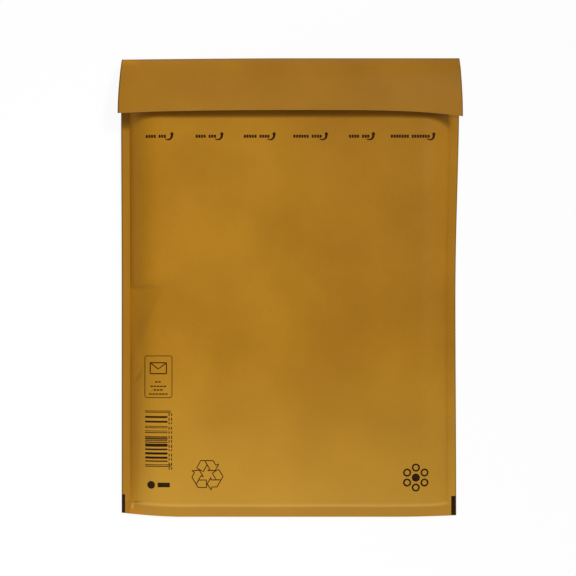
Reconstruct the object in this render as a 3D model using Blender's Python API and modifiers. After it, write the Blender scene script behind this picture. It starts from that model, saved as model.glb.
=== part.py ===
"""A padded envelope lying on its back, with its flap folded forward over the mouth.

X runs across the envelope, Y from the foot towards the fold of the flap, Z up.
The origin is on the surface that it lies on, under the middle of its box.
All sizes are in metres.
"""

import math

import bmesh
import bpy
from mathutils import Vector

# The sheet of paper
paper = 0.00025  # thickness of the kraft sheet
sheet_width = 0.2530  # cut width of the sheet
length = 0.3400  # from the foot fold to the fold of the flap
mouth_back = 0.0130  # how far the mouth edge lies inside the fold of the flap
flap_depth = 0.0400  # from the fold to the free edge of the flap, in its middle

# How far each side of the sheet is drawn in where the envelope is puffed out
foot_draw = {"left": 0.0013, "right": 0.0032}
waist_draw = {"left": 0.0013, "right": 0.0038}
mouth_draw = {"left": 0.0008, "right": 0.0008}
fold_draw = {"left": 0.0019, "right": 0.0014}
edge_draw = {"left": 0.0, "right": 0.0}  # the flap's free edge keeps the full width

# The side seams, pressed flat
seam_width = 0.0063  # width of the flat strip down each side
seam_lift = 0.0020  # height of the seam's underside over the table
pressed_film = 0.0003  # bubble film pressed flat between the two papers

# The padding
pad = 0.0026  # thickness of the bubble film
film_gap = 0.00015  # clearance between the film and the paper
film_inset = 0.0006  # how far the film ends inside the edges of the paper
film_foot = 0.0025  # where the film's own fold lies, from the foot fold
slit = 0.0002  # the two walls of film part by this much along their margins
pocket_height = 0.0085  # room between the two walls of film
pocket_margin = 0.0030  # film joined inside each seam and at the foot

# The puffed front and back
slope_width = 0.0280  # slope of the front from a seam up to the flat middle
back_slope = 0.0220  # slope of the back under a seam
crown = 0.0009  # extra height in the middle of the front
crease_y = 0.0092  # the crease above the foot fold
crease_share = 0.64  # height of that crease, as a share of the front's rise
crease_power = 0.9  # 1 is a straight climb to the crease, less is steeper at first
foot_slope = 0.0380  # from the crease up to the flat middle
corner_lift = {"left": 0.0030, "right": 0.0011}  # the foot's corners are drawn up
corner_run = 0.0430  # length of the foot over which a corner is drawn up
corner_power = 1.6  # more keeps the lift nearer to the corner
corner_fade = 0.1290  # the lift is gone this far above the foot

# The fold of the flap
nose_height = 0.0075  # height of the crease of the fold
nose_back = 0.0125  # where the back starts to turn up, from the fold
flap_rise = 0.0150  # how far the flap climbs from its crease to its free edge
flap_bend = 0.0098  # length over which the flap bends level
fold_slant = 0.0010  # the fold's left end lies this much nearer to the foot
slant_power = 1.5  # more keeps the slant nearer to that end
edge_drop = {"left": 0.0009, "right": 0.0042}  # the flap is deeper at its ends
edge_droop = 0.0040  # and its ends hang this much lower
edge_power = 4  # more keeps both nearer to the ends

# The closure on the inner face of the flap
adhesive = 0.0002  # thickness of the adhesive
adhesive_width = 0.0140
adhesive_end = 0.0060  # bare flap at each end of the adhesive
liner = 0.00015  # thickness of the release liner
liner_lap = 0.0040  # how far the liner reaches past the adhesive on each side
liner_margin = 0.0045  # bare flap between the liner and the free edge
liner_end = 0.0008  # bare flap at each end of the liner
strip_gap = 0.00015  # clearance between the flap, the adhesive and the liner

# Where the grid lines of the sheet lie
slope_lines = (0.10, 0.24, 0.42, 0.68, 1.0)  # shares of a slope
nose_lines = (0.84, 0.66, 0.5, 0.36, 0.23, 0.12, 0.04)  # shares of the turned-up back
bend_lines = (0.05, 0.14, 0.28, 0.48, 0.76)  # shares of the bend of the flap
middle_columns = 5
wall_rows = 8
fold_facets = 4
tiny = 0.0001  # a step along a surface that gives its direction
sharp_angle = math.radians(40)  # edges sharper than this are shaded as creases

half_width = sheet_width / 2
film_depth = paper + film_gap
seam_stack = 2 * film_depth + pressed_film
seam_top = seam_lift + seam_stack
body_height = 2 * (film_depth + pad) + pocket_height
mouth_y = length - mouth_back
fold_radius = seam_stack / 2
crown_reach = 2 * foot_slope  # the crown fades out over this length at either end

kraft = (0.402, 0.195, 0.018)  # linear colours
clear_film = (0.72, 0.74, 0.76)
hot_melt = (0.80, 0.74, 0.55)
coated_paper = (0.83, 0.82, 0.78)


def ease(share):
    """Rises from 0 to 1, steep at first and level at the end."""
    share = min(max(share, 0.0), 1.0)
    return 1 - (1 - share) ** 3


def blend(low, high, share):
    """From low to high, level at both ends."""
    share = min(max(share, 0.0), 1.0)
    return low + (high - low) * share * share * (3 - 2 * share)


def side_of(s):
    return "left" if s < 0 else "right"


def drawn_in(s, start, end, share):
    """X of the sheet's line s, its side drawn in by an amount between two stations'."""
    side = side_of(s)
    return s * (1 - blend(start[side], end[side], share) / half_width)


def body_x(s, y):
    waist_y = mouth_y / 2
    if y < waist_y:
        return drawn_in(s, foot_draw, waist_draw, y / waist_y)
    if y < mouth_y:
        return drawn_in(s, waist_draw, mouth_draw, (y - waist_y) / (mouth_y - waist_y))
    return drawn_in(s, mouth_draw, fold_draw, (y - mouth_y) / mouth_back)


def body_y(s, y):
    """The foot's corners are drawn up, and less so towards the mouth."""
    near = max(0.0, 1 - (half_width - abs(s)) / corner_run) ** corner_power
    return y + corner_lift[side_of(s)] * near * max(0.0, 1 - y / corner_fade)


def slope(s, width):
    """0 on the flat seam, rising to 1 over the given width inside it."""
    return ease((half_width - seam_width - abs(s)) / width)


def slant(s):
    """How far the fold of the flap falls short of the full length."""
    return fold_slant * max(0.0, -s / half_width) ** slant_power


def front(s, y):
    """Outer face of the front, from the foot to the mouth."""
    if y < crease_y:
        foot = crease_share * (y / crease_y) ** crease_power
    else:
        foot = crease_share + (1 - crease_share) * ease((y - crease_y) / foot_slope)
    swell = crown * blend(0, 1, y / crown_reach) * blend(0, 1, (mouth_y - y) / crown_reach)
    z = seam_top + slope(s, slope_width) * ((body_height - seam_top) * foot + swell)
    return Vector((body_x(s, y), body_y(s, y), z))


def back(s, y):
    """Outer face of the back, flat on the table within its rim, up to the fold of the flap."""
    rim = seam_lift * (1 - slope(s, back_slope) * ease(y / back_slope))
    turned = 1 - ease((length - y) / nose_back)
    z = rim + (nose_height - rim) * turned
    return Vector((body_x(s, y), body_y(s, y) - slant(s) * turned, z))


def foot_fold(s, turn):
    """Around the foot fold, from the back at turn 0 to the front at turn 1."""
    low, high = back(s, fold_radius), front(s, fold_radius)
    angle = math.pi * (turn - 0.5)
    out = Vector((0, -fold_radius * math.cos(angle), 0))
    return (low + high) / 2 + out + (high - low) / 2 * math.sin(angle)


def flap(s, d):
    """Outer face of the flap, at a distance d from its fold."""
    share = d / flap_depth
    hang = share * (abs(s) / half_width) ** edge_power
    climb = 1 - math.exp(-d / flap_bend)
    x = drawn_in(s, fold_draw, edge_draw, share)
    y = length - slant(s) - d - edge_drop[side_of(s)] * hang
    return Vector((x, y, nose_height + flap_rise * climb - edge_droop * hang))


def inside(surface, s, t, depth):
    """The point at this depth under a surface's outer face."""
    s0, s1 = max(s - tiny, -half_width), min(s + tiny, half_width)
    over = surface(s1, t) - surface(s0, t)
    along = surface(s, t + tiny) - surface(s, t - tiny)
    normal = over.cross(along).normalized()
    toward = -1 if surface is not back else 1
    if surface is flap:
        normal = -normal
    return surface(s, t) + normal * toward * depth


def sheet_columns(margin=0.0):
    """Lines across the sheet, from left to right, close together on the slopes."""
    crease = half_width - seam_width
    right = [half_width - margin, crease] + [crease - slope_width * share for share in slope_lines]
    inner = right[-1]
    middle = [inner - 2 * inner * n / middle_columns for n in range(1, middle_columns)]
    return [-s for s in right] + sorted(middle) + right[::-1]


def body_rows():
    """Lines along the front and back, from the foot fold to the mouth."""
    rows = [fold_radius, film_foot, (film_foot + crease_y) / 2, crease_y]
    rows += [crease_y + foot_slope * share for share in slope_lines[1:]]
    start = rows[-1]
    return rows + [start + (mouth_y - start) * n / wall_rows for n in range(1, wall_rows + 1)]


def liner_rows():
    """Distances from the fold: liner, adhesive, its middle, adhesive and liner."""
    outer = flap_depth - liner_margin - liner_lap
    inner = outer - adhesive_width
    return [inner - liner_lap, inner, (inner + outer) / 2, outer, outer + liner_lap]


def material(name, colour, roughness, alpha=1.0):
    made = bpy.data.materials.new(name)
    made.use_nodes = True
    shader = made.node_tree.nodes["Principled BSDF"]
    shader.inputs["Base Color"].default_value = (*colour, 1)
    shader.inputs["Roughness"].default_value = roughness
    shader.inputs["Metallic"].default_value = 0.0
    shader.inputs["Alpha"].default_value = alpha
    made.diffuse_color = (*colour, 1)
    return made


def new_collection(name):
    made = bpy.data.collections.new(name)
    bpy.context.scene.collection.children.link(made)
    return made


def add_object(name, bm, collection, finish=None):
    mesh = bpy.data.meshes.new(name)
    bm.to_mesh(mesh)
    bm.free()
    made = bpy.data.objects.new(name, mesh)
    collection.objects.link(made)
    if finish:
        mesh.materials.append(finish)
        mesh.shade_smooth()
        mesh.set_sharp_from_angle(angle=sharp_angle)
    return made


def grid_of(columns, rows):
    """A flat grid, with each vertex paired with its line across and its line along."""
    bm = bmesh.new()
    across, along = len(columns) - 1, len(rows) - 1
    bmesh.ops.create_grid(bm, x_segments=across, y_segments=along, size=1)
    placed = []
    for vertex in bm.verts:
        i = round((vertex.co.x + 1) / 2 * across)
        j = round((vertex.co.y + 1) / 2 * along)
        placed.append((vertex, columns[i], rows[j]))
    return bm, placed


def centred(point):
    return point - Vector((0, length / 2, 0))


def add_sheet(name, columns, rows, place, thickness, collection, finish):
    """A flat grid bent into place, thickened towards its inner face."""
    bm, placed = grid_of(columns, rows)
    for vertex, s, row in placed:
        vertex.co = centred(place(s, row))
    made = add_object(name, bm, collection, finish)
    solid = made.modifiers.new("thickness", "SOLIDIFY")
    solid.thickness = thickness
    solid.offset = -1
    solid.use_even_offset = True
    return made


def add_pillow(name, columns, rows, top, bottom, collection, finish=None):
    """A closed solid between two curved faces over the same grid."""
    bm, placed = grid_of(columns, rows)
    sides = bmesh.ops.extrude_face_region(bm, geom=bm.faces[:])
    upper = [item for item in sides["geom"] if isinstance(item, bmesh.types.BMVert)]
    at = {(round(v.co.x, 5), round(v.co.y, 5)): (s, y) for v, s, y in placed}
    for vertex in upper:
        s, y = at[(round(vertex.co.x, 5), round(vertex.co.y, 5))]
        vertex.co = centred(top(s, y))
    for vertex, s, y in placed:
        vertex.co = centred(bottom(s, y))
    bmesh.ops.recalc_face_normals(bm, faces=bm.faces[:])
    return add_object(name, bm, collection, finish)


def add_kraft_outer(collection, finish):
    """One sheet: the flap, its fold, the back, the foot fold and the front, in that order."""
    bends = [flap_bend * share for share in bend_lines]
    path = [(flap, d) for d in [flap_depth] + liner_rows()[::-1] + bends[::-1]]
    path += [(back, length)]
    path += [(back, length - nose_back * share) for share in sorted(nose_lines)]
    path += [(back, y) for y in body_rows()[::-1]]
    path += [(foot_fold, n / fold_facets) for n in range(1, fold_facets)]
    path += [(front, y) for y in body_rows()]

    def place(s, step):
        surface, t = step
        return surface(s, t)

    return add_sheet("kraft_outer", sheet_columns(), path, place, paper, collection, finish)


def film_top(s, y):
    return inside(front, s, y, film_depth)


def film_bottom(s, y):
    return inside(back, s, y, film_depth)


def pocket_face(s, y, toward):
    """The pocket's upper face (toward 1) or lower face (toward -1)."""
    high, low = film_top(s, min(y, mouth_y)), film_bottom(s, min(y, mouth_y))
    room = max((high.z - low.z) / 2 - pad, slit / 2)
    past = Vector((0, max(0.0, y - mouth_y), 0))
    return (high + low) / 2 + past + Vector((0, 0, toward * room))


def add_bubble_lining(collection, cutters, finish):
    """A pouch of bubble film, pressed flat in the side seams and open at the mouth."""
    columns = sheet_columns(film_inset)
    rows = body_rows()[1:-1] + [mouth_y - film_inset]
    film = add_pillow("bubble_lining", columns, rows, film_top, film_bottom, collection, finish)
    inner = half_width - seam_width - pocket_margin
    pocket_columns = [-inner] + [s for s in columns if abs(s) < inner - pad] + [inner]
    start = film_foot + pocket_margin
    pocket_rows = [start] + [y for y in rows if y > start + pad] + [mouth_y + pad]
    space = add_pillow(
        "pocket_space",
        pocket_columns,
        pocket_rows,
        lambda s, y: pocket_face(s, y, 1),
        lambda s, y: pocket_face(s, y, -1),
        cutters,
    )
    space.hide_render = True
    space.display_type = "WIRE"
    hollow = film.modifiers.new("pocket", "BOOLEAN")
    hollow.operation = "DIFFERENCE"
    hollow.object = space
    hollow.solver = "EXACT"
    return film


def add_strip(name, end, rows, depth, thickness, collection, finish):
    """A flat strip along the inner face of the flap."""
    reach = half_width - end
    columns = [-reach] + [s for s in sheet_columns() if abs(s) < half_width - seam_width] + [reach]

    def place(s, d):
        return inside(flap, s, d, depth)

    return add_sheet(name, columns, rows[::-1], place, thickness, collection, finish)


def build():
    for old in list(bpy.data.objects):
        bpy.data.objects.remove(old, do_unlink=True)
    envelope = new_collection("padded_envelope")
    cutters = new_collection("cutters")
    add_kraft_outer(envelope, material("kraft_paper", kraft, 0.75))
    add_bubble_lining(envelope, cutters, material("bubble_film", clear_film, 0.3, 0.6))
    rows = liner_rows()
    depth = paper + strip_gap
    glue = material("hot_melt_adhesive", hot_melt, 0.35)
    add_strip("adhesive_strip", adhesive_end, rows[1:-1], depth, adhesive, envelope, glue)
    depth += adhesive + strip_gap
    strip = material("release_paper", coated_paper, 0.4)
    add_strip("release_liner", liner_end, rows, depth, liner, envelope, strip)


build()
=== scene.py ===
import math

import bpy
import numpy as np
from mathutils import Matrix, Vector


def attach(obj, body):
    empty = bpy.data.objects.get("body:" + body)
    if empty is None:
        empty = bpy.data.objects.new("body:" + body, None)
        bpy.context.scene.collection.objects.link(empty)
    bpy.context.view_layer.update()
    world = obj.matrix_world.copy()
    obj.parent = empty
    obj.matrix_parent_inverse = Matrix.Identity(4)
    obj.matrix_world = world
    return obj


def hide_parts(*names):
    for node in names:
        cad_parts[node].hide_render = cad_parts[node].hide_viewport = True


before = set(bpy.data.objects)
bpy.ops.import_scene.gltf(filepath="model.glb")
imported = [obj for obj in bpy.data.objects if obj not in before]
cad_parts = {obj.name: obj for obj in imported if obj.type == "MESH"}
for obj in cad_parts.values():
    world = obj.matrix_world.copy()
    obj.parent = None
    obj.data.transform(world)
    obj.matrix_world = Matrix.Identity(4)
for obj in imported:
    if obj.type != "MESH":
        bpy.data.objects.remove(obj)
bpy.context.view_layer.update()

print("Frame loaded:", ", ".join(sorted(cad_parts)))

# The folded sheet, in metres. These are the sizes of the solid that it stands for.
envelope = {
    "sheetWidth": 0.2530,
    "length": 0.3400,        # foot fold to the fold of the flap
    "mouthBack": 0.0130,     # mouth edge inside the fold of the flap
    "flapDepth": 0.0400,
    "paper": 0.00025,
    "footDraw": (0.0013, 0.0032),    # left and right side, drawn in by the padding
    "waistDraw": (0.0013, 0.0038),
    "mouthDraw": (0.0008, 0.0008),
    "foldDraw": (0.0019, 0.0014),
    "seamWidth": 0.0063,
    "seamLift": 0.0020,      # the seams lie this far off the ground
    "pressedFilm": 0.0003,
    "slopeWidth": 0.0280,    # rise of the front beside a seam
    "backSlope": 0.0220,
    "crown": 0.0009,
    "creaseY": 0.0092,       # crease above the foot fold
    "creaseShare": 0.64,     # share of the height that the front has at the crease
    "creasePower": 0.9,
    "footSlope": 0.0380,
    "calmFoot": 0.0120,      # dents fade out over this stretch above the foot fold
    "cornerLift": (0.0030, 0.0011),  # foot corners drawn up, left and right
    "cornerRun": 0.0430,
    "cornerPower": 1.6,
    "cornerFade": 0.1290,
    "noseHeight": 0.0075,    # crease of the flap's fold
    "noseBack": 0.0125,
    "flapRise": 0.0150,      # the flap stands this far above that crease
    "flapBend": 0.0098,
    "foldSlant": 0.0010,     # the fold's left end lies nearer the foot
    "slantPower": 1.5,
    "edgeDrop": (0.0009, 0.0042),    # ends of the free edge, towards the foot
    "edgeDroop": 0.0040,     # and towards the ground
    "edgePower": 4,
}
lining = {
    "pad": 0.0026,           # thickness of the bubble film
    "gap": 0.00015,
    "inset": 0.0006,
    "foot": 0.0025,
    "slit": 0.0002,
    "pocketHeight": 0.0085,
    "film": 0.00010,         # smooth film on the inner side
    "bubblePitch": 0.0114,
    "bubbleRadius": 0.0048,
    "bubbleSides": 12,
    "bubbleRings": [(1.0, 0.0), (0.97, 0.45), (0.86, 0.80), (0.58, 0.97)],   # shares of radius, height
    "slack": 0.0006,         # room over a bubble, so that a dent in the paper stays clear of it
    "leastBubble": 0.0009,   # a bubble with less room than this is pressed flat
    "step": 0.0040,
    "filmSharp": 35.0,
    "bubbleSharp": 60.0,
    "fill": 0.8,             # new bubbles are nearly full
}

halfWidth = envelope["sheetWidth"] / 2
filmDepth = envelope["paper"] + lining["gap"]
seamStack = 2 * filmDepth + envelope["pressedFilm"]
seamTop = envelope["seamLift"] + seamStack
bodyHeight = 2 * (filmDepth + lining["pad"]) + lining["pocketHeight"]
mouthY = envelope["length"] - envelope["mouthBack"]
foldRadius = seamStack / 2


def ease(share):
    share = np.clip(share, 0.0, 1.0)
    return 1 - (1 - share) ** 3


def blend(low, high, share):
    share = np.clip(share, 0.0, 1.0)
    return low + (high - low) * share * share * (3 - 2 * share)


def bySide(s, pair):
    return np.where(s < 0, pair[0], pair[1])


def drawnIn(s, start, end, share):
    return s * (1 - blend(bySide(s, start), bySide(s, end), share) / halfWidth)


def bodyX(s, y):
    waistY = mouthY / 2
    lower = drawnIn(s, envelope["footDraw"], envelope["waistDraw"], y / waistY)
    upper = drawnIn(s, envelope["waistDraw"], envelope["mouthDraw"], (y - waistY) / (mouthY - waistY))
    last = drawnIn(s, envelope["mouthDraw"], envelope["foldDraw"], (y - mouthY) / envelope["mouthBack"])
    return np.where(y < waistY, lower, np.where(y < mouthY, upper, last))


def bodyY(s, y):
    near = np.maximum(0.0, 1 - (halfWidth - abs(s)) / envelope["cornerRun"]) ** envelope["cornerPower"]
    fade = np.maximum(0.0, 1 - y / envelope["cornerFade"])
    return y + bySide(s, envelope["cornerLift"]) * near * fade


def slope(s, width):
    return ease((halfWidth - envelope["seamWidth"] - abs(s)) / width)


def slant(s):
    return envelope["foldSlant"] * np.maximum(0.0, -s / halfWidth) ** envelope["slantPower"]


# What handling has left in the front: place from the middle of the sheet, reach along and
# across, turn in degrees and height, all in millimetres. A sharp one is a crease.
frontRelief = [
    {"at": (-114.8, 1.6), "reach": (3.0, 1.6), "turn": 0, "height": 0.55, "sharp": False},
    {"at": (-113.4, -65.8), "reach": (7.5, 1.6), "turn": 68, "height": -1.30, "sharp": True},
    {"at": (-115.4, -161.0), "reach": (5.5, 1.1), "turn": 10, "height": -1.80, "sharp": True},
    {"at": (51.0, -45.5), "reach": (13.0, 6.0), "turn": 12, "height": -0.50, "sharp": False},
    {"at": (47.0, -70.0), "reach": (8.0, 6.0), "turn": 0, "height": -0.40, "sharp": False},
    {"at": (62.0, -86.0), "reach": (7.0, 5.0), "turn": 20, "height": -0.40, "sharp": False},
    {"at": (102.0, -110.0), "reach": (11.0, 6.0), "turn": 8, "height": -0.50, "sharp": False},
    {"at": (-62.0, -96.0), "reach": (22.0, 10.0), "turn": 14, "height": -0.42, "sharp": False},
    {"at": (-58.0, -55.0), "reach": (8.0, 7.0), "turn": 0, "height": -0.32, "sharp": False},
    {"at": (92.0, -5.0), "reach": (26.0, 9.0), "turn": 32, "height": 0.40, "sharp": False},
    {"at": (14.5, 0.0), "reach": (2.0, 1.6), "turn": 0, "height": -0.05, "sharp": False},
    {"at": (-40.0, -20.0), "reach": (60.0, 12.0), "turn": 14, "height": -0.35, "sharp": False},
    {"at": (10.0, 60.0), "reach": (18.0, 50.0), "turn": 4, "height": 0.30, "sharp": False},
]
sideDent = {
    "top": 3.4,              # upper edge of the dent, across the slope beside the left seam
    "apex": (-95.0, -1.0),
    "end": (-118.0, -56.0),
    "tilt": 0.20,            # fall for each millimetre inside the slanting edge
    "deepest": 2.4,
    "edge": 4.4,
}
paintedCreaseShadeAndHighlight = [
    # Painted shade at creases and on the left slope, one painted highlight: place, reach and turn as above
    {"at": (-116.2, -160.3), "reach": (8.5, 1.8), "turn": 10, "share": 0.62, "tint": "#7C4A00"},
    {"at": (-114.2, -66.5), "reach": (10.0, 2.8), "turn": 56, "share": 0.34, "tint": "#7C4A00"},
    {"at": (-115.2, -104.0), "reach": (62.0, 9.0), "turn": 90, "share": 0.20, "tint": "#7C4A00"},
    {"at": (-118.3, -163.8), "reach": (5.0, 1.7), "turn": 83, "share": 0.40, "tint": "#E0B868"},
]
waviness = {"seed": 7, "waves": 14, "longest": 95.0, "shortest": 22.0, "height": 0.10}


def waves(x, y):
    draw = np.random.default_rng(waviness["seed"])
    total = np.zeros_like(x)
    for n in range(waviness["waves"]):
        size = draw.uniform(waviness["shortest"], waviness["longest"])
        turn = draw.uniform(0, 2 * math.pi)
        start = draw.uniform(0, 2 * math.pi)
        run = x * math.cos(turn) + y * math.sin(turn)
        total += np.cos(run * 2 * math.pi / size + start) * size / waviness["longest"]
    return total * waviness["height"]


def reliefAt(s, y):
    # Height that handling adds to the front, in metres
    x, along = s * 1000, (y - envelope["length"] / 2) * 1000
    height = waves(x, along)
    for mark in frontRelief:
        turn = math.radians(mark["turn"])
        dx, dy = x - mark["at"][0], along - mark["at"][1]
        u = (dx * math.cos(turn) + dy * math.sin(turn)) / mark["reach"][0]
        v = (dy * math.cos(turn) - dx * math.sin(turn)) / mark["reach"][1]
        across = np.exp(-abs(v)) if mark["sharp"] else np.exp(-v * v)
        height += mark["height"] * np.exp(-u * u) * across
    ax, ay = sideDent["apex"]
    bx, by = sideDent["end"]
    run = math.hypot(bx - ax, by - ay)
    within = ((bx - ax) * (along - ay) - (by - ay) * (x - ax)) / run
    depth = np.clip(-within, 0, None) * sideDent["tilt"]
    depth = sideDent["deepest"] * np.tanh(depth / sideDent["deepest"])
    height -= depth * blend(0, 1, (sideDent["top"] - along) / sideDent["edge"]) * (x < 0)
    rise = slope(s, envelope["slopeWidth"] / 2) * blend(0, 1, y / envelope["calmFoot"])
    return height * rise * 0.001


def front(s, y):
    # The front's outer face, from the foot up to the mouth
    creaseY, share = envelope["creaseY"], envelope["creaseShare"]
    below = share * (np.clip(y, 0, None) / creaseY) ** envelope["creasePower"]
    above = share + (1 - share) * ease((y - creaseY) / envelope["footSlope"])
    foot = np.where(y < creaseY, below, above)
    reach = 2 * envelope["footSlope"]
    swell = envelope["crown"] * blend(0, 1, y / reach) * blend(0, 1, (mouthY - y) / reach)
    z = seamTop + slope(s, envelope["slopeWidth"]) * ((bodyHeight - seamTop) * foot + swell)
    return np.stack([bodyX(s, y), bodyY(s, y), z + reliefAt(s, y)], axis=-1)


def back(s, y):
    # The back's outer face, from the foot up to the crease of the flap's fold
    rim = envelope["seamLift"] * (1 - slope(s, envelope["backSlope"]) * ease(y / envelope["backSlope"]))
    turned = 1 - ease((envelope["length"] - y) / envelope["noseBack"])
    z = rim + (envelope["noseHeight"] - rim) * turned
    return np.stack([bodyX(s, y), bodyY(s, y) - slant(s) * turned, z], axis=-1)


def footFold(s, turn):
    # Round from the back, 0, to the front, 1
    low, high = back(s, foldRadius + 0 * s), front(s, foldRadius + 0 * s)
    angle = math.pi * (turn - 0.5)
    made = (low + high) / 2 + (high - low) / 2 * math.sin(angle)
    made[..., 1] -= foldRadius * math.cos(angle)
    return made


def flap(s, d):
    # The flap's outer face, by the distance from its fold
    share = d / envelope["flapDepth"]
    hang = share * (abs(s) / halfWidth) ** envelope["edgePower"]
    climb = 1 - np.exp(-d / envelope["flapBend"])
    x = drawnIn(s, envelope["foldDraw"], (0.0, 0.0), share)
    y = envelope["length"] - slant(s) - d - bySide(s, envelope["edgeDrop"]) * hang
    z = envelope["noseHeight"] + envelope["flapRise"] * climb - envelope["edgeDroop"] * hang
    return np.stack([x, y, z], axis=-1)


def inside(surface, s, t, depth):
    # Points at this depth under a surface's outer face. This normal points out of the front, and
    # into the back and the flap.
    step = 0.0001
    left, right = np.maximum(s - step, -halfWidth), np.minimum(s + step, halfWidth)
    normal = np.cross(surface(right, t) - surface(left, t), surface(s, t + step) - surface(s, t - step))
    normal /= np.linalg.norm(normal, axis=-1, keepdims=True)
    toward = -1 if surface is front else 1
    return surface(s, t) + normal * toward * depth


def centred(points):
    return points - np.array([0, envelope["length"] / 2, 0])


def spaced(start, end, step):
    return list(np.linspace(start, end, max(2, round(abs(end - start) / step) + 1)))


def gridFaces(rows, columns):
    corner = np.arange(rows - 1)[:, None] * columns + np.arange(columns - 1)[None, :]
    corner = corner.ravel()
    return np.stack([corner, corner + 1, corner + columns + 1, corner + columns], axis=1).tolist()


def addMesh(name, points, faces, flat=None):
    # flat gives each point its place on the unfolded sheet, in metres, as a UV map
    mesh = bpy.data.meshes.new(name)
    mesh.from_pydata(np.asarray(points).reshape(-1, 3).tolist(), [], faces)
    if flat is not None:
        layer = mesh.uv_layers.new(name="flat")
        corners = np.zeros(len(mesh.loops), dtype=np.int32)
        mesh.loops.foreach_get("vertex_index", corners)
        layer.data.foreach_set("uv", np.asarray(flat).reshape(-1, 2)[corners].astype(np.float32).ravel())
    mesh.update()
    piece = bpy.data.objects.new(name, mesh)
    bpy.context.scene.collection.objects.link(piece)
    return piece


def thicken(piece, thickness, offset=-1.0, rim=0, inner=0):
    solid = piece.modifiers.new("thickness", "SOLIDIFY")
    solid.thickness = thickness
    solid.offset = offset
    solid.use_even_offset = True
    solid.material_offset_rim = rim
    solid.material_offset = inner
    return piece


def finishPiece(piece, materials, sharpAngle=35.0):
    for material in materials:
        piece.data.materials.append(material)
    piece.data.shade_smooth()
    piece.data.set_sharp_from_angle(angle=math.radians(sharpAngle))
    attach(piece, "root")
    return piece


# Materials


def hexToLinear(text):
    made = []
    for n in (1, 3, 5):
        value = int(text[n:n + 2], 16) / 255
        made.append(value / 12.92 if value <= 0.04045 else ((value + 0.055) / 1.055) ** 2.4)
    return (*made, 1.0)


def addNode(tree, kind, settings=None, inputs=None):
    node = tree.nodes.new(kind)
    for name, value in (settings or {}).items():
        setattr(node, name, value)
    for socket, value in (inputs or {}).items():
        if isinstance(value, bpy.types.NodeSocket):
            tree.links.new(value, node.inputs[socket])
        else:
            node.inputs[socket].default_value = value
    return node


def newMaterial(name):
    material = bpy.data.materials.new(name)
    material.use_nodes = True
    tree = material.node_tree
    return material, tree, tree.nodes["Principled BSDF"]


kraftLook = {
    "light": "#AC7814",      # the pulp is a little uneven
    "dark": "#A16E10",
    "fibre": "#8A5C14",
    "fleck": "#6A4614",
    "patchSize": 60.0,       # millimetres, as the sizes below
    "patchRange": (0.3, 0.7),
    "fibreLength": 9.0,      # real fibres are about 3 mm long and 0.04 mm wide,
    "fibreWidth": 0.5,       # drawn coarser so that they show
    "fibreRange": (0.45, 0.8),
    "fibreShare": 0.14,
    "fleckSpacing": 7.0,
    "fleckRange": (0.08, 0.03),
    "fleckShare": 0.22,
    "roughness": (0.52, 0.62),
    "specular": 0.14,
    "grain": 0.00002,        # depth of the grain in metres
}


def kraftPaper(name, look):
    # Sulphate kraft paper: brown pulp, a little cloudy, with long fibres that lie along the web
    material, tree, shader = newMaterial(name)
    coords = addNode(tree, "ShaderNodeTexCoord")
    flat = coords.outputs["UV"]
    patch = addNode(tree, "ShaderNodeTexNoise", {"noise_dimensions": "2D"}, {
        "Vector": flat, "Scale": 1000 / look["patchSize"], "Detail": 3.0, "Roughness": 0.5})
    along = addNode(tree, "ShaderNodeMapping", None, {
        "Vector": flat, "Scale": (1000 / look["fibreWidth"], 1000 / look["fibreLength"], 1.0)})
    fibre = addNode(tree, "ShaderNodeTexNoise", {"noise_dimensions": "2D"}, {
        "Vector": along.outputs["Vector"], "Scale": 1.0, "Detail": 4.0, "Roughness": 0.6,
        "Distortion": 0.4})
    fleck = addNode(tree, "ShaderNodeTexVoronoi", {"voronoi_dimensions": "2D"}, {
        "Vector": flat, "Scale": 1000 / look["fleckSpacing"], "Randomness": 1.0})
    tone = addNode(tree, "ShaderNodeMapRange", None, {
        "Value": patch.outputs["Fac"], "From Min": look["patchRange"][0],
        "From Max": look["patchRange"][1]})
    pulp = addNode(tree, "ShaderNodeMix", {"data_type": "RGBA"}, {
        "Factor": tone.outputs["Result"], "A": hexToLinear(look["dark"]), "B": hexToLinear(look["light"])})
    fibreShare = addNode(tree, "ShaderNodeMapRange", None, {
        "Value": fibre.outputs["Fac"], "From Min": look["fibreRange"][0],
        "From Max": look["fibreRange"][1], "To Max": look["fibreShare"]})
    fibred = addNode(tree, "ShaderNodeMix", {"data_type": "RGBA"}, {
        "Factor": fibreShare.outputs["Result"], "A": pulp.outputs["Result"],
        "B": hexToLinear(look["fibre"])})
    fleckShare = addNode(tree, "ShaderNodeMapRange", None, {
        "Value": fleck.outputs["Distance"], "From Min": look["fleckRange"][0],
        "From Max": look["fleckRange"][1], "To Max": look["fleckShare"]})
    colour = addNode(tree, "ShaderNodeMix", {"data_type": "RGBA"}, {
        "Factor": fleckShare.outputs["Result"], "A": fibred.outputs["Result"],
        "B": hexToLinear(look["fleck"])})
    dull = addNode(tree, "ShaderNodeMapRange", None, {
        "Value": fibre.outputs["Fac"], "To Min": look["roughness"][0], "To Max": look["roughness"][1]})
    bump = addNode(tree, "ShaderNodeBump", None, {
        "Height": fibre.outputs["Fac"], "Strength": 1.0, "Distance": look["grain"]})
    tree.links.new(colour.outputs["Result"], shader.inputs["Base Color"])
    tree.links.new(dull.outputs["Result"], shader.inputs["Roughness"])
    tree.links.new(bump.outputs["Normal"], shader.inputs["Normal"])
    shader.inputs["Specular IOR Level"].default_value = look["specular"]
    return material


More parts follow.
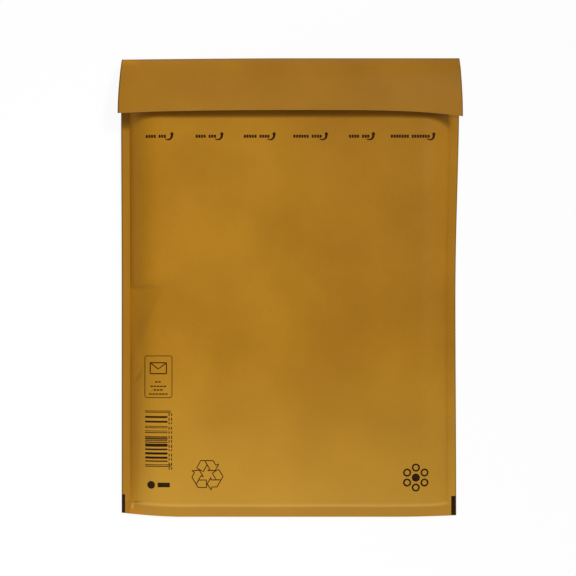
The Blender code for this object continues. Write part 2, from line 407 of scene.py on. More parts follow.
def paintShadeAndMarksOnGlazedSide(material, lines, flatY):
    # Painted light and shade on the glazed side, with a few darker marks. lines are places on the
    # unfolded sheet, and flatY gives the place there of a point on the front. A mark fades in from its
    # first to its second distance, in millimetres, measured as its first word says.
    tree = material.node_tree
    shader = tree.nodes["Principled BSDF"]
    colour = shader.inputs["Base Color"].links[0].from_socket
    flat = tree.nodes["Texture Coordinate"].outputs["UV"]
    place = addNode(tree, "ShaderNodeSeparateXYZ", None, {"Vector": flat})
    across = addNode(tree, "ShaderNodeMath", {"operation": "ABSOLUTE"}, {0: place.outputs["X"]})
    fromFoot = addNode(tree, "ShaderNodeMath", {"operation": "ABSOLUTE"}, {0: place.outputs["Y"]})
    distances = {}
    for name in ("crease", "fold"):
        toLine = addNode(tree, "ShaderNodeMath", {"operation": "SUBTRACT"}, {
            0: place.outputs["Y"], 1: lines[name]})
        away = addNode(tree, "ShaderNodeMath", {"operation": "ABSOLUTE"}, {0: toLine.outputs["Value"]})
        distances[name] = away.outputs["Value"]
    creaseEnd = lines["seam"] - 0.002      # the painted highlight along the crease ends inside the seams
    pastEnd = addNode(tree, "ShaderNodeMath", {"operation": "SUBTRACT"}, {
        0: across.outputs["Value"], 1: creaseEnd})
    fromCrease = addNode(tree, "ShaderNodeMath", {"operation": "MAXIMUM"}, {
        0: distances["crease"], 1: pastEnd.outputs["Value"]})
    # The seam marks lie on the left side only. The flap isn't sealed, so its end stays out.
    leftward = addNode(tree, "ShaderNodeMath", {"operation": "MULTIPLY"}, {0: place.outputs["X"], 1: -1.0})
    offFlap = addNode(tree, "ShaderNodeMath", {"operation": "SUBTRACT"}, {
        0: place.outputs["Y"], 1: lines["fold"] - lines["seam"]})
    sealed = addNode(tree, "ShaderNodeMath", {"operation": "MINIMUM"}, {
        0: leftward.outputs["Value"], 1: offFlap.outputs["Value"]})
    measures = {
        "along": place.outputs["Y"],
        "across": across.outputs["Value"],
        "foot": fromFoot.outputs["Value"],
        "crease": fromCrease.outputs["Value"],
        "fold": distances["fold"],
        "seam": sealed.outputs["Value"],
    }
    fold, edge, flapLine = (lines[key] * 1000 for key in ("fold", "edge", "flapLine"))
    seam, side, crease = (lines[key] * 1000 for key in ("seam", "side", "crease"))
    # Painted light and shade, with a few darker marks
    marks = [
        ("foot", 130, 8, 0.36, "#CEA340"),                           # painted light: paler towards the foot
        ("along", flapLine - 5.0, flapLine - 2.8, 0.24, "#702400"),  # painted shadow below the flap's free edge
        ("along", fold + 14, fold, 0.30, "#6E430C"),                 # painted shade over the flap
        ("along", fold - 4, edge, 0.16, "#C08A30"),                  # painted light: the flap paler towards its edge
        ("along", edge + 0.9, edge + 0.3, 0.25, "#E0B868"),          # painted highlight along the flap's cut edge
        ("fold", 2.6, 0.8, 0.36, "#5A3A10"),                         # painted shade along the fold
        ("seam", seam - 9.0, seam - 4.0, 0.50, "#B87600"),           # painted shade colour: a richer brown beside the left seam
        ("seam", seam - 0.3, seam + 0.3, 0.42, "#6E5418"),           # darker over the left seam strip
        ("across", side - 1.1, side - 0.4, 0.50, "#4A3210"),         # darker along the side edges
        ("crease", 2.1, 0.3, 0.24, "#E0B868"),                       # painted highlight along the foot crease
        ("foot", crease - 0.8, crease - 2.2, 0.17, "#8A4A08"),       # painted shade below it, on the turn to the foot fold
    ]
    for measure, start, full, share, tint in marks:
        amount = addNode(tree, "ShaderNodeMapRange", None, {
            "Value": measures[measure], "From Min": start / 1000, "From Max": full / 1000, "To Max": share})
        mixed = addNode(tree, "ShaderNodeMix", {"data_type": "RGBA"}, {
            "Factor": amount.outputs["Result"], "A": colour, "B": hexToLinear(tint)})
        colour = mixed.outputs["Result"]
    # Painted shade and highlights at the creases
    for paintedCreaseSpot in paintedCreaseShadeAndHighlight:
        x, along = paintedCreaseSpot["at"]
        spot = addNode(tree, "ShaderNodeMapping", {"vector_type": "TEXTURE"}, {
            "Vector": flat, "Location": (x / 1000, flatY(along), 0.0),
            "Rotation": (0.0, 0.0, math.radians(paintedCreaseSpot["turn"])),
            "Scale": (paintedCreaseSpot["reach"][0] / 1000, paintedCreaseSpot["reach"][1] / 1000, 1.0)})
        away = addNode(tree, "ShaderNodeVectorMath", {"operation": "LENGTH"}, {0: spot.outputs["Vector"]})
        amount = addNode(tree, "ShaderNodeMapRange", {"interpolation_type": "SMOOTHSTEP"}, {
            "Value": away.outputs["Value"], "From Min": 1.0, "From Max": 0.0, "To Max": paintedCreaseSpot["share"]})
        mixed = addNode(tree, "ShaderNodeMix", {"data_type": "RGBA"}, {
            "Factor": amount.outputs["Result"], "A": colour, "B": hexToLinear(paintedCreaseSpot["tint"])})
        colour = mixed.outputs["Result"]
    tree.links.new(colour, shader.inputs["Base Color"])


inkLook = {
    "full": "#241206",
    "starved": "#3C2408",
    "mottleSize": 0.9,       # millimetres
    "mottleRange": (0.45, 0.75),
    "roughness": 0.7,
    "specular": 0.08,
}


def flexographicInk():
    # Water-based ink laid on kraft by a rubber plate: nearly black, matt, a little starved
    material, tree, shader = newMaterial("flexographic ink on kraft")
    coords = addNode(tree, "ShaderNodeTexCoord")
    mottle = addNode(tree, "ShaderNodeTexNoise", None, {
        "Vector": coords.outputs["Object"], "Scale": 1000 / inkLook["mottleSize"], "Detail": 3.0})
    share = addNode(tree, "ShaderNodeMapRange", None, {
        "Value": mottle.outputs["Fac"], "From Min": inkLook["mottleRange"][0],
        "From Max": inkLook["mottleRange"][1]})
    colour = addNode(tree, "ShaderNodeMix", {"data_type": "RGBA"}, {
        "Factor": share.outputs["Result"], "A": hexToLinear(inkLook["full"]),
        "B": hexToLinear(inkLook["starved"])})
    tree.links.new(colour.outputs["Result"], shader.inputs["Base Color"])
    shader.inputs["Roughness"].default_value = inkLook["roughness"]
    shader.inputs["Specular IOR Level"].default_value = inkLook["specular"]
    return material


filmLook = {
    "dull": "#E4E8EA",
    "bright": "#F4F6F6",
    "hazeSize": 12.0,        # millimetres, about the spacing of the bubbles
    "alpha": (0.30, 0.42),
    "roughness": 0.18,
    "ior": 1.51,
}


def blownFilm():
    # Low-density polyethylene, blown thin: clear and shiny, with a faint uneven milkiness
    material, tree, shader = newMaterial("blown polyethylene film")
    coords = addNode(tree, "ShaderNodeTexCoord")
    haze = addNode(tree, "ShaderNodeTexNoise", None, {
        "Vector": coords.outputs["Object"], "Scale": 1000 / filmLook["hazeSize"], "Detail": 2.0})
    colour = addNode(tree, "ShaderNodeMix", {"data_type": "RGBA"}, {
        "Factor": haze.outputs["Fac"], "A": hexToLinear(filmLook["dull"]),
        "B": hexToLinear(filmLook["bright"])})
    clear = addNode(tree, "ShaderNodeMapRange", None, {
        "Value": haze.outputs["Fac"], "To Min": filmLook["alpha"][0], "To Max": filmLook["alpha"][1]})
    tree.links.new(colour.outputs["Result"], shader.inputs["Base Color"])
    tree.links.new(clear.outputs["Result"], shader.inputs["Alpha"])
    shader.inputs["Roughness"].default_value = filmLook["roughness"]
    shader.inputs["IOR"].default_value = filmLook["ior"]
    return material


adhesiveLook = {
    "dark": "#D8C58E",
    "light": "#E9DDB4",
    "ribLength": 60.0,       # millimetres
    "ribSpacing": 1.2,
    "ribDepth": 0.00004,     # metres
    "roughness": 0.22,
    "ior": 1.5,
}


def hotMeltAdhesive():
    # Rubber-based hot melt, slot-coated: pale amber, wet-looking, with faint ribs along the band
    material, tree, shader = newMaterial("slot-coated hot-melt adhesive")
    coords = addNode(tree, "ShaderNodeTexCoord")
    along, across = 1000 / adhesiveLook["ribLength"], 1000 / adhesiveLook["ribSpacing"]
    ribMap = addNode(tree, "ShaderNodeMapping", None, {
        "Vector": coords.outputs["Object"], "Scale": (along, across, across)})
    ribs = addNode(tree, "ShaderNodeTexNoise", None, {"Vector": ribMap.outputs["Vector"], "Scale": 1.0})
    colour = addNode(tree, "ShaderNodeMix", {"data_type": "RGBA"}, {
        "Factor": ribs.outputs["Fac"], "A": hexToLinear(adhesiveLook["dark"]),
        "B": hexToLinear(adhesiveLook["light"])})
    bump = addNode(tree, "ShaderNodeBump", None, {
        "Height": ribs.outputs["Fac"], "Strength": 1.0, "Distance": adhesiveLook["ribDepth"]})
    tree.links.new(colour.outputs["Result"], shader.inputs["Base Color"])
    tree.links.new(bump.outputs["Normal"], shader.inputs["Normal"])
    shader.inputs["Roughness"].default_value = adhesiveLook["roughness"]
    shader.inputs["IOR"].default_value = adhesiveLook["ior"]
    return material


linerLook = {
    "dark": "#DAD8CF",
    "light": "#F1EFE8",
    "cloudSize": 3.0,        # millimetres
    "relief": 0.00003,       # metres
    "reliefStrength": 0.6,
    "roughness": 0.38,
}


def siliconedPaper():
    # Bleached glassine with a baked silicone coat: off-white, satin, faintly cloudy
    material, tree, shader = newMaterial("silicone-coated glassine paper")
    coords = addNode(tree, "ShaderNodeTexCoord")
    cloud = addNode(tree, "ShaderNodeTexNoise", None, {
        "Vector": coords.outputs["Object"], "Scale": 1000 / linerLook["cloudSize"], "Detail": 4.0})
    colour = addNode(tree, "ShaderNodeMix", {"data_type": "RGBA"}, {
        "Factor": cloud.outputs["Fac"], "A": hexToLinear(linerLook["dark"]),
        "B": hexToLinear(linerLook["light"])})
    bump = addNode(tree, "ShaderNodeBump", None, {
        "Height": cloud.outputs["Fac"], "Strength": linerLook["reliefStrength"],
        "Distance": linerLook["relief"]})
    tree.links.new(colour.outputs["Result"], shader.inputs["Base Color"])
    tree.links.new(bump.outputs["Normal"], shader.inputs["Normal"])
    shader.inputs["Roughness"].default_value = linerLook["roughness"]
    return material


# The glazed side has a soft sheen, the other side is rougher, and a cut edge is rough and pale
glazedKraft = kraftPaper("machine-glazed kraft paper", kraftLook)
innerKraft = kraftPaper("kraft paper, unglazed side", {
    **kraftLook, "light": "#B98A3C", "dark": "#AA7C30", "roughness": (0.78, 0.88), "specular": 0.10,
    "grain": 0.00006})
cutKraft = kraftPaper("kraft paper, guillotined edge", {
    **kraftLook, "light": "#CBA055", "dark": "#BE9145", "roughness": (0.85, 0.92), "specular": 0.05})
ink = flexographicInk()
print("Paper and ink made")

# The kraft sheet

sheetGrid = {
    "seamStep": 0.0013,
    "creaseStep": 0.0007,    # fine where the front turns up from the seam
    "creaseReach": 0.0035,
    "slopeStep": 0.0013,
    "middleStep": 0.0024,
    "footStep": 0.0008,
    "footReach": 0.0200,
    "frontStep": 0.0022,
    "dentStep": 0.0011,
    "dents": (0.0980, 0.1760),       # the small dents halfway up the left side lie here
    "hiddenStep": 0.0040,    # under the flap
    "backStep": 0.0055,
    "noseStep": 0.0009,
    "flapStep": 0.0014,
    "foldTurns": 8,
}


def sheetColumns():
    crease = halfWidth - envelope["seamWidth"]
    inner = crease - envelope["slopeWidth"]
    right = spaced(halfWidth, crease, sheetGrid["seamStep"])
    right += spaced(crease, crease - sheetGrid["creaseReach"], sheetGrid["creaseStep"])[1:]
    right += spaced(crease - sheetGrid["creaseReach"], inner, sheetGrid["slopeStep"])[1:]
    middle = spaced(-inner, inner, sheetGrid["middleStep"])[1:-1]
    return np.array([-s for s in right] + middle + right[::-1])


def frontRows():
    top = mouthY - envelope["flapDepth"]
    low, high = sheetGrid["dents"]
    rows = spaced(foldRadius, sheetGrid["footReach"], sheetGrid["footStep"])
    rows += spaced(sheetGrid["footReach"], low, sheetGrid["frontStep"])[1:]
    rows += spaced(low, high, sheetGrid["dentStep"])[1:]
    rows += spaced(high, top, sheetGrid["frontStep"])[1:]
    return rows + spaced(top, mouthY, sheetGrid["hiddenStep"])[1:]


def buildKraftSheet():
    columns = sheetColumns()
    length, nose = envelope["length"], envelope["noseBack"]
    flapStep, turns = sheetGrid["flapStep"], sheetGrid["foldTurns"]
    steps = [(flap, d) for d in spaced(envelope["flapDepth"], flapStep / 2, flapStep)]
    steps += [(back, y) for y in spaced(length, length - nose, sheetGrid["noseStep"])]
    steps += [(back, y) for y in spaced(length - nose, foldRadius, sheetGrid["backStep"])[1:]]
    steps += [(footFold, n / turns) for n in range(1, turns)]
    steps += [(front, y) for y in frontRows()]
    rows = []
    for surface, t in steps:
        rows.append(surface(columns, t if surface is footFold else t + 0 * columns))
    points = centred(np.array(rows))
    # Run of the sheet along its middle, from the foot fold
    middle = points[:, len(columns) // 2]
    run = np.concatenate([[0], np.cumsum(np.linalg.norm(np.diff(middle, axis=0), axis=1))])
    surfaces = [surface for surface, t in steps]
    run -= run[surfaces.index(footFold) + turns // 2]
    flat = np.stack(np.broadcast_arrays(columns[None, :], run[:, None]), axis=-1)
    onFront = [n for n, surface in enumerate(surfaces) if surface is front]
    frontY = [steps[n][1] for n in onFront]
    crease = min(onFront, key=lambda n: abs(steps[n][1] - envelope["creaseY"]))

    def flatY(along):
        return float(np.interp(along / 1000 + length / 2, frontY, run[onFront]))

    # Painted light and shade, laid on the glazed side
    paintShadeAndMarksOnGlazedSide(glazedKraft, {
        "fold": run[surfaces.index(back)],
        "edge": run[0],
        "crease": run[crease],
        "flapLine": run[-1] + envelope["mouthBack"] - envelope["flapDepth"],
        "seam": halfWidth - envelope["seamWidth"],
        "side": halfWidth,
    }, flatY)
    print("  kraft grid:", len(steps), "by", len(columns))
    piece = addMesh("kraft_sheet", points, gridFaces(len(steps), len(columns)), flat)
    thicken(piece, envelope["paper"], rim=1, inner=2)
    finishPiece(piece, [glazedKraft, cutKraft, innerKraft])
    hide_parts("kraft_outer")


buildKraftSheet()
print("Kraft sheet folded")

# The bubble lining


def filmAt(s, y):
    # Limits of the lining at these places, and its two smooth inner films
    high, low = inside(front, s, y, filmDepth), inside(back, s, y, filmDepth)
    room = np.maximum((high[..., 2] - low[..., 2]) / 2 - lining["pad"], lining["slit"] / 2)
    upper = (high + low) / 2
    lower = upper.copy()
    upper[..., 2] += room
    lower[..., 2] -= room
    return high, low, upper, lower


def buildSmoothFilm():
    edge = halfWidth - lining["inset"]
    columns = np.clip(sheetColumns(), -edge, edge)[::2]
    rows = np.array(spaced(lining["foot"], mouthY - lining["inset"], lining["step"]))
    s, y = np.broadcast_arrays(columns[None, :], rows[:, None])
    upper, lower = filmAt(s, y)[2:]
    web = np.concatenate([upper[::-1], lower])
    piece = addMesh("smooth_film", centred(web), gridFaces(len(rows) * 2, len(columns)))
    return thicken(piece, lining["film"], offset=1.0)


def bubbleRing():
    # One bubble of radius 1 and height 1, closed at its foot
    profile, sides = lining["bubbleRings"], lining["bubbleSides"]
    angles = np.arange(sides) * 2 * math.pi / sides
    ring = [(r * math.cos(a), r * math.sin(a), h) for r, h in profile for a in angles] + [(0, 0, 1.0)]
    faces = [list(range(sides))[::-1]]
    for band in range(len(profile) - 1):
        for n in range(sides):
            a, b = band * sides + n, band * sides + (n + 1) % sides
            faces.append([a, b, b + sides, a + sides])
    top = (len(profile) - 1) * sides
    faces += [[top + n, top + (n + 1) % sides, len(ring) - 1] for n in range(sides)]
    return np.array(ring), faces


def buildBubbles():
    ring, faces = bubbleRing()
    radius, pitch = lining["bubbleRadius"], lining["bubblePitch"]
    reach = halfWidth - envelope["seamWidth"] - radius
    points, allFaces = [], []
    for j, cy in enumerate(np.arange(lining["foot"] + pitch, mouthY - radius, pitch * math.sqrt(3) / 2)):
        across = np.arange(-halfWidth, halfWidth, pitch) + (pitch / 2 if j % 2 else 0)
        for cx in across[abs(across) <= reach]:
            high, low, upper, lower = filmAt(cx + ring[:, 0] * radius, cy + ring[:, 1] * radius)
            for roof, base, toward in ((high, upper, 1), (low, lower, -1)):
                base[:, 2] += toward * lining["film"]
                roof[:, 2] -= toward * lining["slack"]
                if (roof[-1, 2] - base[-1, 2]) * toward < lining["leastBubble"]:
                    continue
                first = len(points) * len(ring)
                points.append(base + (roof - base) * ring[:, 2:3])
                allFaces += [[first + n for n in (face if toward > 0 else face[::-1])] for face in faces]
    print("  bubbles:", len(points))
    return addMesh("bubble_cells", centred(np.array(points)), allFaces)


film = blownFilm()
for made, sharpAngle in ((buildSmoothFilm(), lining["filmSharp"]), (buildBubbles(), lining["bubbleSharp"])):
    finishPiece(made, [film], sharpAngle)
    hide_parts("bubble_lining")
print("Bubble lining made")

# The closure on the inner face of the flap
closure = {
    "adhesive": 0.0002,
    "adhesiveWidth": 0.0140,
    "adhesiveEnd": 0.0060,   # from the side of the flap
    "liner": 0.00015,
    "linerLap": 0.0040,      # past the adhesive, up and down
    "linerMargin": 0.0045,   # from the free edge of the flap
    "linerEnd": 0.0008,
    "stripGap": 0.00015,
    "acrossStep": 0.0030,
    "alongStep": 0.0010,
}


def flapStrip(name, end, start, stop, depth, thickness, material):
    reach = halfWidth - end
    columns = np.array(spaced(-reach, reach, closure["acrossStep"]))
    rows = np.array(spaced(stop, start, closure["alongStep"]))
    s, d = np.broadcast_arrays(columns[None, :], rows[:, None])
    piece = addMesh(name, centred(inside(flap, s, d, depth)), gridFaces(len(rows), len(columns)))
    thicken(piece, thickness)
    return finishPiece(piece, [material])


outer = envelope["flapDepth"] - closure["linerMargin"] - closure["linerLap"]
inner = outer - closure["adhesiveWidth"]
lap = closure["linerLap"]
depth = envelope["paper"] + closure["stripGap"]
adhesiveBand = flapStrip(
    "adhesive_band", closure["adhesiveEnd"], inner, outer, depth, closure["adhesive"], hotMeltAdhesive())
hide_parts("adhesive_strip")
depth += closure["adhesive"] + closure["stripGap"]
peelStrip = flapStrip(
    "peel_strip", closure["linerEnd"], inner - lap, outer + lap, depth, closure["liner"], siliconedPaper())
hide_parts("release_liner")
print("Adhesive and liner laid")

# The print, in millimetres from the middle of the front
inkLayer = {
    "lift": 0.045,
    "thickness": 0.03,
    "step": 1.2,
    "rounds": 6,             # steps that find the point of the front at a place in plan
    "roundSides": 20,
}


def ontoFront(x, y):
    # Points in metres lying on the front's outer face at these places in plan
    x, along = np.asarray(x) * 0.001, np.asarray(y) * 0.001 + envelope["length"] / 2
    s, t = x.copy(), along.copy()
    for n in range(inkLayer["rounds"]):
        found = front(s, t)
        s, t = s + x - found[..., 0], t + along - found[..., 1]
    return centred(front(s, t))


def block(x0, y0, x1, y1):
    columns, rows = spaced(x0, x1, inkLayer["step"]), spaced(y0, y1, inkLayer["step"])
    points = [(x, y) for y in rows for x in columns]
    return points, gridFaces(len(rows), len(columns))


def ribbon(path, width, closed=False):
    # A drawn line; width is a number, or a start and an end
    path = np.array(path, float)
    if closed:
        path = np.concatenate([path, path[:1]])
    fine = [path[0]]
    for a, b in zip(path[:-1], path[1:]):
        count = max(1, math.ceil(np.linalg.norm(b - a) / inkLayer["step"]))
        fine += [a + (b - a) * n / count for n in range(1, count + 1)]
    fine = np.array(fine)
    along = np.gradient(fine, axis=0)
    if closed:
        along[0] = along[-1] = fine[1] - fine[-2]
    along /= np.linalg.norm(along, axis=1, keepdims=True)
    side = np.stack([-along[:, 1], along[:, 0]], axis=1)
    start, end = width if isinstance(width, tuple) else (width, width)
    half = np.linspace(start, end, len(fine))[:, None] / 2
    points = np.stack([fine + side * half, fine - side * half], axis=1).reshape(-1, 2)
    return points.tolist(), gridFaces(len(fine), 2)


def disc(x, y, radius):
    sides = inkLayer["roundSides"]
    points = [(x, y)]
    for share in (0.5, 1.0):
        for n in range(sides):
            angle = n * 2 * math.pi / sides
            points.append((x + radius * share * math.cos(angle), y + radius * share * math.sin(angle)))
    faces = [[0, 1 + n, 1 + (n + 1) % sides] for n in range(sides)]
    for n in range(sides):
        a, b = 1 + n, 1 + (n + 1) % sides
        faces.append([a, a + sides, b + sides, b])
    return points, faces


def arc(x, y, radius, startAngle, endAngle, count=14):
    angles = np.radians(np.linspace(startAngle, endAngle, count))
    return [(x + radius * math.cos(a), y + radius * math.sin(a)) for a in angles]


def roundedFrame(x0, y0, x1, y1, radius):
    corners = [(x1, y0, -90), (x1, y1, 0), (x0, y1, 90), (x0, y0, 180)]
    path = []
    for x, y, start in corners:
        inX = x - radius if x == x1 else x + radius
        inY = y - radius if y == y1 else y + radius
        path += arc(inX, inY, radius, start, start + 90, 6)
    return path


def printPiece(name, shapes):
    points, faces = [], []
    for shapePoints, shapeFaces in shapes:
        first = len(points)
        points += [tuple(p) for p in shapePoints]
        faces += [[first + n for n in face] for face in shapeFaces]
    plan = np.array(points)
    placed = ontoFront(plan[:, 0], plan[:, 1])
    placed[:, 2] += inkLayer["lift"] * 0.001
    piece = addMesh(name, placed, faces)
    thicken(piece, inkLayer["thickness"] * 0.001)
    finishPiece(piece, [ink])


openMarks = {
    "spans": [(-106.3, -85.3), (-69.5, -48.6), (-34.1, -10.2), (2.3, 28.2), (43.2, 62.7), (73.9, 107.3)],
    "middle": 111.5, "height": 2.2,
    "dash": 1.5, "gap": 0.45, "wordGap": 1.7, "wordShare": 0.45, "wordEnd": 0.6,
    "arrowRadius": 3.1, "arrowWidth": (0.5, 1.9), "arrowRise": 0.6, "arrowStart": -130,
    "headWidth": 3.3, "headHeight": 1.8, "headRise": 1.5,
    "headRows": (0, 0.32, 0.64, 0.96), "headColumns": (-1, -0.5, 0, 0.5, 1),
}


def openArrow(x, y):
    # A tail that swings up into an arrow head
    radius, rise = openMarks["arrowRadius"], openMarks["headRise"]
    path = arc(x - radius, y + openMarks["arrowRise"], radius, openMarks["arrowStart"], 0)
    path.append((x, y + rise))
    half, tall = openMarks["headWidth"] / 2, openMarks["headHeight"]
    rows, columns = openMarks["headRows"], openMarks["headColumns"]
    head = [(x + half * (1 - up) * side, y + rise + tall * up) for up in rows for side in columns]
    return [ribbon(path, openMarks["arrowWidth"]), (head, gridFaces(len(rows), len(columns)))]


def buildOpenMarks():
    shapes = []
    low = openMarks["middle"] - openMarks["height"] / 2
    for start, end in openMarks["spans"]:
        arrowX = end - openMarks["headWidth"] / 2
        stop = arrowX - openMarks["arrowRadius"] + openMarks["wordEnd"]
        middle = start + (stop - start) * openMarks["wordShare"]
        x, split = start, False
        while x + openMarks["dash"] <= stop:
            if x > middle and not split:
                x, split = x + openMarks["wordGap"], True
            shapes.append(block(x, low, x + openMarks["dash"], low + openMarks["height"]))
            x += openMarks["dash"] + openMarks["gap"]
        shapes += openArrow(arrowX, openMarks["middle"])
    printPiece("open_marks", shapes)


labelPanel = {
    "box": (-107.0, -80.5, -86.9, -49.9), "corner": 1.6, "line": 0.50,
    # The drawn envelope hangs this far below the frame's top
    "figureTop": 5.0, "figureFoot": 13.0, "figureHalf": 6.0, "figureLine": 0.8,
    "flapPoint": 4.6, "flapLine": 0.7,
    "dashRows": [(-69.0, 5.0), (-72.2, 11.5), (-74.9, 7.0), (-77.9, 13.5)],      # place and width
    "dash": 1.9, "dashPitch": 2.4, "dashHalf": 0.45, "leastDash": 0.5,
}


def buildLabelPanel():
    x0, y0, x1, y1 = labelPanel["box"]
    middle = (x0 + x1) / 2
    shapes = [ribbon(roundedFrame(x0, y0, x1, y1, labelPanel["corner"]), labelPanel["line"], True)]
    top, low, half = y1 - labelPanel["figureTop"], y1 - labelPanel["figureFoot"], labelPanel["figureHalf"]
    left, right = middle - half, middle + half
    figure = [(left, low), (right, low), (right, top), (left, top)]
    shapes.append(ribbon(figure, labelPanel["figureLine"], True))
    flapPath = [(left, top), (middle, top - labelPanel["flapPoint"]), (right, top)]
    shapes.append(ribbon(flapPath, labelPanel["flapLine"]))
    half = labelPanel["dashHalf"]
    for y, wide in labelPanel["dashRows"]:
        x, end = middle - wide / 2, middle + wide / 2
        while x < end - labelPanel["leastDash"]:
            shapes.append(block(x, y - half, min(x + labelPanel["dash"], end), y + half))
            x += labelPanel["dashPitch"]
    printPiece("label_panel", shapes)


stripes = {
    # Bars and the gaps below them, from the top, with no code in them
    "bars": [
        (0.5, 0.5), (0.5, 2.5), (1.4, 2.1), (1.3, 2.5), (0.5, 0.6), (0.5, 1.8), (0.5, 0.7), (0.6, 2.4),
        (0.9, 0.4), (1.0, 0.5), (0.6, 0.6), (0.7, 0.7), (2.2, 1.4), (1.2, 1.6), (1.6, 1.5), (1.6, 1.3),
        (0.9, 2.0), (0.5, 0.6), (0.6, 0.5)],
    "left": -106.8, "right": -90.2, "top": -90.1, "guardRight": -87.8, "guards": (0, 1, 17, 18),
    "tickX": (-89.4, -86.9), "tickTop": -92.0, "tickSpacing": 3.3, "tickLine": 0.7,
    "tickHeights": (1.9, 2.3, 1.5, 2.2, 1.8, 2.4), "ticks": 13,
}


def buildStripes():
    shapes, y = [], stripes["top"]
    for n, (bar, gap) in enumerate(stripes["bars"]):
        right = stripes["guardRight"] if n in stripes["guards"] else stripes["right"]
        shapes.append(block(stripes["left"], y - bar, right, y))
        y -= bar + gap
    for n in range(stripes["ticks"]):
        high = stripes["tickTop"] - n * stripes["tickSpacing"]
        low = high - stripes["tickHeights"][n % len(stripes["tickHeights"])]
        start, end = stripes["tickX"]
        shapes.append(block(start, low, start + stripes["tickLine"], high))
        shapes.append(block(end - stripes["tickLine"], low, end, high))
    printPiece("stripe_field", shapes)


sizeMark = {"disc": (-102.4, -144.9, 2.9), "bar": (-97.6, -146.6, -88.6, -143.2)}


def buildSizeMark():
    printPiece("size_mark", [disc(*sizeMark["disc"]), block(*sizeMark["bar"])])


recycling = {
    # One arrow of the common three-arrow loop, from its middle, with the fold between its two parts
    "centre": (-61.0, -137.4), "line": 0.65, "scale": 1.03,
    "tail": [(-7.6, 5.0), (-4.6, 10.3), (-1.8, 10.3), (-0.1, 7.2), (-2.9, 2.4)],
    "head": [(-1.8, 10.3), (4.1, 10.3), (6.1, 7.0), (8.2, 8.0), (5.7, 3.2), (0.1, 3.1), (1.8, 4.1)],
}


def buildRecycling():
    shapes = []
    for turn in (0, 120, 240):
        angle = math.radians(turn)
        spin = np.array([[math.cos(angle), -math.sin(angle)], [math.sin(angle), math.cos(angle)]])
        for part in ("tail", "head"):
            path = np.array(recycling[part]) @ spin.T * recycling["scale"] + np.array(recycling["centre"])
            shapes.append(ribbon(path, recycling["line"], True))
    printPiece("recycling_loop", shapes)


dotCluster = {
    "centre": (92.3, -139.4), "pitch": 7.4, "radius": 3.0, "ring": 1.2, "around": 6, "turn": 30}


def buildDotCluster():
    # A bubble in a ring of six, a plain figure for what the envelope is lined with
    x, y = dotCluster["centre"]
    shapes = [disc(x, y, dotCluster["radius"])]
    for n in range(dotCluster["around"]):
        angle = math.radians(360 / dotCluster["around"] * n + dotCluster["turn"])
        cx, cy = x + dotCluster["pitch"] * math.cos(angle), y + dotCluster["pitch"] * math.sin(angle)
        middle = dotCluster["radius"] - dotCluster["ring"] / 2
        path = arc(cx, cy, middle, 0, 360, inkLayer["roundSides"] + 1)[:-1]
        shapes.append(ribbon(path, dotCluster["ring"], True))
    printPiece("dot_cluster", shapes)


registerMarks = [(-124.9, -166.9, -122.7, -153.2), (119.6, -168.6, 122.9, -154.5)]


def buildRegisterMarks():
    printPiece("register_marks", [block(*box) for box in registerMarks])


for build in (
        buildOpenMarks, buildLabelPanel, buildStripes, buildSizeMark, buildRecycling, buildDotCluster,
        buildRegisterMarks):
    build()
print("Print laid on the front")

# Floor, light and camera
studio = {
    "floorSize": 6.0,
    "floorDrop": 0.0002,     # keeps the floor clear of the envelope's back
    "floorColour": "#F4F4F2",
    "floorWhite": 0.93,      # share of plain white that the camera sees in the floor
    "floorRoughness": 0.9,
    "floorSpecular": 0.1,
    "toothSize": 2.0,        # millimetres; the real tooth is about 0.3, drawn coarser
    "toothDepth": 0.00002,   # metres
    "toothStrength": 0.3,
    "worldLevel": 0.36,
}
lamps = [
    {"name": "key", "place": (2.25, 1.95, 3.90), "aim": (0, 0, 0), "size": (1.50, 1.50),
     "power": 103.0},
    {"name": "snoot", "place": (1.30, 1.45, 2.20), "aim": (-0.17, 0.03, 0), "size": 0.40, "cone": 10,
     "power": 240.0},
    {"name": "strip at the foot", "place": (-0.05, -0.35, 0.22), "aim": (0, -0.12, 0),
     "size": (0.55, 0.10), "power": 0.5},
]
view = {"distance": 1.10, "shownWidth": 0.4291, "middle": (-0.00168, 0.0), "sensor": 36.0}


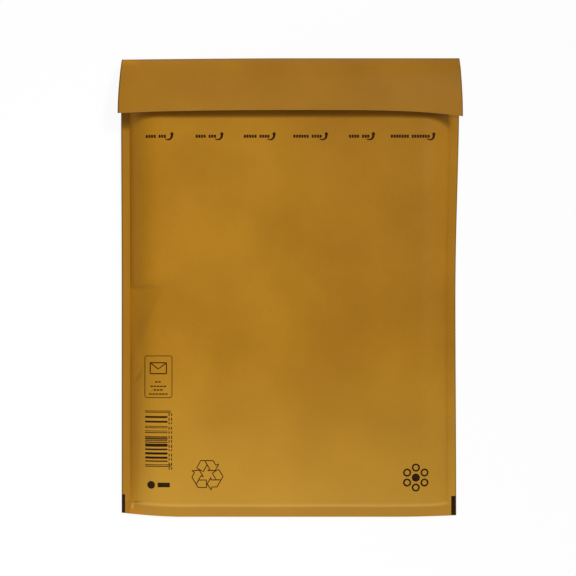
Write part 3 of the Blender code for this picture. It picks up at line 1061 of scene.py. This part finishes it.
def buildFloor():
    half = studio["floorSize"] / 2
    points = [(-half, -half, 0), (half, -half, 0), (half, half, 0), (-half, half, 0)]
    floor = addMesh("floor", np.array(points) - np.array([0, 0, studio["floorDrop"]]), [[0, 1, 2, 3]])
    # Matt studio board: white to the camera, and it keeps the shadow
    material, tree, shader = newMaterial("matt studio board")
    coords = addNode(tree, "ShaderNodeTexCoord")
    tooth = addNode(tree, "ShaderNodeTexNoise", None, {
        "Vector": coords.outputs["Object"], "Scale": 1000 / studio["toothSize"], "Detail": 2.0})
    bump = addNode(tree, "ShaderNodeBump", None, {
        "Height": tooth.outputs["Fac"], "Strength": studio["toothStrength"],
        "Distance": studio["toothDepth"]})
    shader.inputs["Base Color"].default_value = hexToLinear(studio["floorColour"])
    shader.inputs["Roughness"].default_value = studio["floorRoughness"]
    shader.inputs["Specular IOR Level"].default_value = studio["floorSpecular"]
    tree.links.new(bump.outputs["Normal"], shader.inputs["Normal"])
    glow = addNode(tree, "ShaderNodeEmission", None, {"Color": (1, 1, 1, 1), "Strength": 1.0})
    path = addNode(tree, "ShaderNodeLightPath")
    seen = addNode(tree, "ShaderNodeMath", {"operation": "MAXIMUM"}, {
        0: path.outputs["Is Camera Ray"], 1: path.outputs["Is Glossy Ray"]})
    seen = addNode(tree, "ShaderNodeMath", {"operation": "MAXIMUM"}, {
        0: seen.outputs["Value"], 1: path.outputs["Is Transmission Ray"]})
    share = addNode(tree, "ShaderNodeMath", {"operation": "MULTIPLY"}, {
        0: seen.outputs["Value"], 1: studio["floorWhite"]})
    mixed = addNode(tree, "ShaderNodeMixShader", None, {
        "Fac": share.outputs["Value"], 1: shader.outputs["BSDF"], 2: glow.outputs["Emission"]})
    tree.links.new(mixed.outputs["Shader"], tree.nodes["Material Output"].inputs["Surface"])
    floor.data.materials.append(material)


def buildLamp(setting):
    # A soft box, or a snooted lamp that gives a pool of light where a cone angle is given
    if "cone" in setting:
        light = bpy.data.lights.new(setting["name"], "SPOT")
        light.spot_size = math.radians(setting["cone"])
        light.spot_blend = 1.0
        light.shadow_soft_size = setting["size"] / 2
    else:
        light = bpy.data.lights.new(setting["name"], "AREA")
        light.shape = "RECTANGLE"
        light.size, light.size_y = setting["size"]
    light.energy = setting["power"]
    lamp = bpy.data.objects.new(setting["name"], light)
    bpy.context.scene.collection.objects.link(lamp)
    lamp.location = setting["place"]
    toward = Vector(setting["aim"]) - Vector(setting["place"])
    lamp.rotation_euler = toward.to_track_quat("-Z", "Y").to_euler()


def buildWorld():
    world = bpy.data.worlds.new("studio")
    bpy.context.scene.world = world
    world.use_nodes = True
    tree = world.node_tree
    background = tree.nodes["Background"]
    path = addNode(tree, "ShaderNodeLightPath")
    seen = addNode(tree, "ShaderNodeMath", {"operation": "MAXIMUM"}, {
        0: path.outputs["Is Camera Ray"], 1: path.outputs["Is Transmission Ray"]})
    level = addNode(tree, "ShaderNodeMapRange", None, {
        "Value": seen.outputs["Value"], "To Min": studio["worldLevel"], "To Max": 1.0})
    background.inputs["Color"].default_value = (1, 1, 1, 1)
    tree.links.new(level.outputs["Result"], background.inputs["Strength"])


def buildCamera():
    data = bpy.data.cameras.new("camera")
    data.type = "PERSP"
    data.sensor_width = view["sensor"]
    data.lens = view["sensor"] * view["distance"] / view["shownWidth"]
    camera = bpy.data.objects.new("camera", data)
    bpy.context.scene.collection.objects.link(camera)
    camera.location = (*view["middle"], view["distance"])
    camera.rotation_euler = (0, 0, 0)
    bpy.context.scene.camera = camera


buildFloor()
for setting in lamps:
    buildLamp(setting)
buildWorld()
buildCamera()
bpy.context.scene.view_settings.view_transform = "Standard"
print("Studio set")
